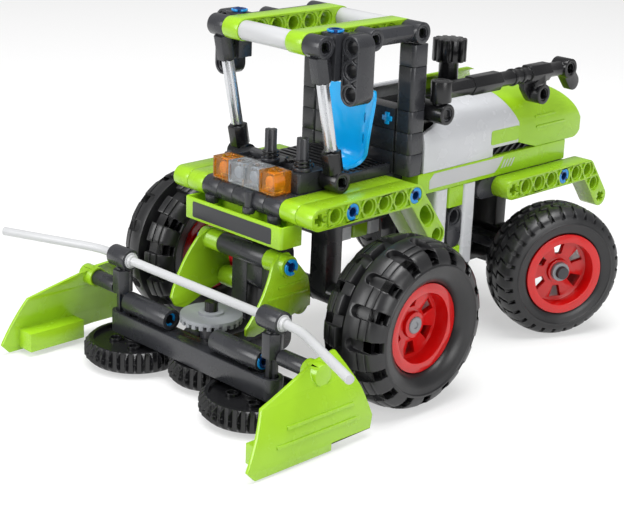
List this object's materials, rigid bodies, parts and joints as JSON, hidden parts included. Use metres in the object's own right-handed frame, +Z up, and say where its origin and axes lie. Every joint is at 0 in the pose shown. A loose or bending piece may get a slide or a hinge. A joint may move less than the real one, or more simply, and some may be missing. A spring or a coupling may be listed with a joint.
{
  "type": "toy combine harvester",
  "caption": "Pin-and-beam construction toy of a combine harvester with an open cab, a swinging discharge tube, steered rear wheels and a lifting header with geared cutters.",
  "frame": {"origin": "on the floor under the middle of the toy", "axes": "+X forward to the header, +Y to the toy's left, +Z up"},
  "size_m": [0.2248, 0.1836, 0.1272],
  "materials": {
    "lime": "gloss",
    "dark_grey": "gloss",
    "black": "gloss",
    "light_grey": "gloss",
    "red": "gloss",
    "blue": "gloss",
    "white": "satin",
    "clear": "gloss",
    "amber": "gloss",
    "tyre": "matt"
  },
  "bodies": {
    "chassis": {"amber_lamps": "amber", "blue_pins": "blue", "body_frame": "dark_grey", "cab_floor": "dark_grey", "chassis_rails": "dark_grey", "clear_lamps": "clear", "console": "dark_grey", "deck_beams": "dark_grey", "engine_block": "dark_grey", "front_bumper": "lime", "front_carrier": "dark_grey", "front_fenders": "lime", "front_pillars": "light_grey", "knob": "black", "left_grey_panel": "light_grey", "left_lime_panel": "lime", "lift_bracket": "dark_grey", "mirrors": "dark_grey", "pillar_feet": "dark_grey", "rear_carrier": "dark_grey", "rear_fenders": "lime", "rear_pillars": "dark_grey", "rear_wall": "dark_grey", "right_grey_panel": "light_grey", "right_lime_panel": "lime", "roof_links": "dark_grey", "roof_rails": "lime", "roof_tubes": "white", "seat": "blue", "skirts": "lime", "spout_mount": "black", "strut_spacers": "lime", "strut_webs": "dark_grey", "struts": "light_grey", "under_beams": "dark_grey"},
    "left_knuckle": {"left_knuckle": "dark_grey"},
    "right_knuckle": {"right_knuckle": "dark_grey"},
    "tie_rod": {"tie_rod": "dark_grey"},
    "header": {"header_bar": "dark_grey", "lift_arms": "dark_grey", "bar_links": "dark_grey", "hose_posts": "dark_grey", "hose": "white", "left_side_panel": "lime", "right_side_panel": "lime", "throat_cheeks": "lime", "header_pins": "blue"},
    "left_cutter": {"left_cutter": "black"},
    "middle_cutter": {"middle_cutter": "black", "crown_gear": "light_grey"},
    "right_cutter": {"right_cutter": "black"},
    "spout": {"discharge_tube": "black"},
    "front_left_wheel": {"front_left_tyre": "tyre", "front_left_rim": "red"},
    "front_right_wheel": {"front_right_tyre": "tyre", "front_right_rim": "red"},
    "rear_left_wheel": {"rear_left_tyre": "tyre", "rear_left_rim": "red"},
    "rear_right_wheel": {"rear_right_tyre": "tyre", "rear_right_rim": "red"}
  },
  "joints": [
    {"name": "steer_left", "type": "hinge", "parent": "chassis", "child": "left_knuckle", "pos_m": [-0.07483, 0.028, 0.026], "axis": [0, 0, 1], "range_deg": [-6.6, 53.4]},
    {"name": "steer_right", "type": "hinge", "parent": "chassis", "child": "right_knuckle", "pos_m": [-0.07483, -0.028, 0.026], "axis": [0, 0, 1], "range_deg": [-6.6, 53.4]},
    {"name": "tie_rod_end", "type": "hinge", "parent": "left_knuckle", "child": "tie_rod", "pos_m": [-0.06015, 0.02165, 0.026], "axis": [0, 0, 1], "range_deg": [-53.4, 6.6]},
    {"name": "front_left_spin", "type": "hinge", "parent": "chassis", "child": "front_left_wheel", "pos_m": [0.02917, 0.054, 0.03], "axis": [0, 1, 0], "continuous": true},
    {"name": "rear_left_spin", "type": "hinge", "parent": "left_knuckle", "child": "rear_left_wheel", "pos_m": [-0.06768, 0.04452, 0.026], "axis": [0.3971, 0.9178, 0], "continuous": true},
    {"name": "front_right_spin", "type": "hinge", "parent": "chassis", "child": "front_right_wheel", "pos_m": [0.02917, -0.054, 0.03], "axis": [0, 1, 0], "continuous": true},
    {"name": "rear_right_spin", "type": "hinge", "parent": "right_knuckle", "child": "rear_right_wheel", "pos_m": [-0.08198, -0.04452, 0.026], "axis": [0.3971, 0.9178, 0], "continuous": true},
    {"name": "header_lift", "type": "hinge", "parent": "chassis", "child": "header", "pos_m": [0.04517, 0, 0.038], "axis": [0, -1, 0], "range_deg": [0, 15]},
    {"name": "left_cutter_spin", "type": "hinge", "parent": "header", "child": "left_cutter", "pos_m": [0.07717, 0.032, 0.01], "axis": [0, 0, 1], "continuous": true},
    {"name": "middle_cutter_spin", "type": "hinge", "parent": "header", "child": "middle_cutter", "pos_m": [0.06917, 0, 0.01], "axis": [0, 0, 1], "continuous": true},
    {"name": "right_cutter_spin", "type": "hinge", "parent": "header", "child": "right_cutter", "pos_m": [0.07717, -0.032, 0.01], "axis": [0, 0, 1], "continuous": true},
    {"name": "spout_swing", "type": "hinge", "parent": "chassis", "child": "spout", "pos_m": [-0.01083, 0.03096, 0.0928], "axis": [0, 0, 1], "range_deg": [-95, 0]}
  ],
  "couplings": [
    {"joint": "steer_right", "follows": "steer_left", "ratio": 1},
    {"joint": "tie_rod_end", "follows": "steer_left", "ratio": -1},
    {"joint": "middle_cutter_spin", "follows": "left_cutter_spin", "ratio": -1.2857},
    {"joint": "right_cutter_spin", "follows": "left_cutter_spin", "ratio": 1}
  ]
}
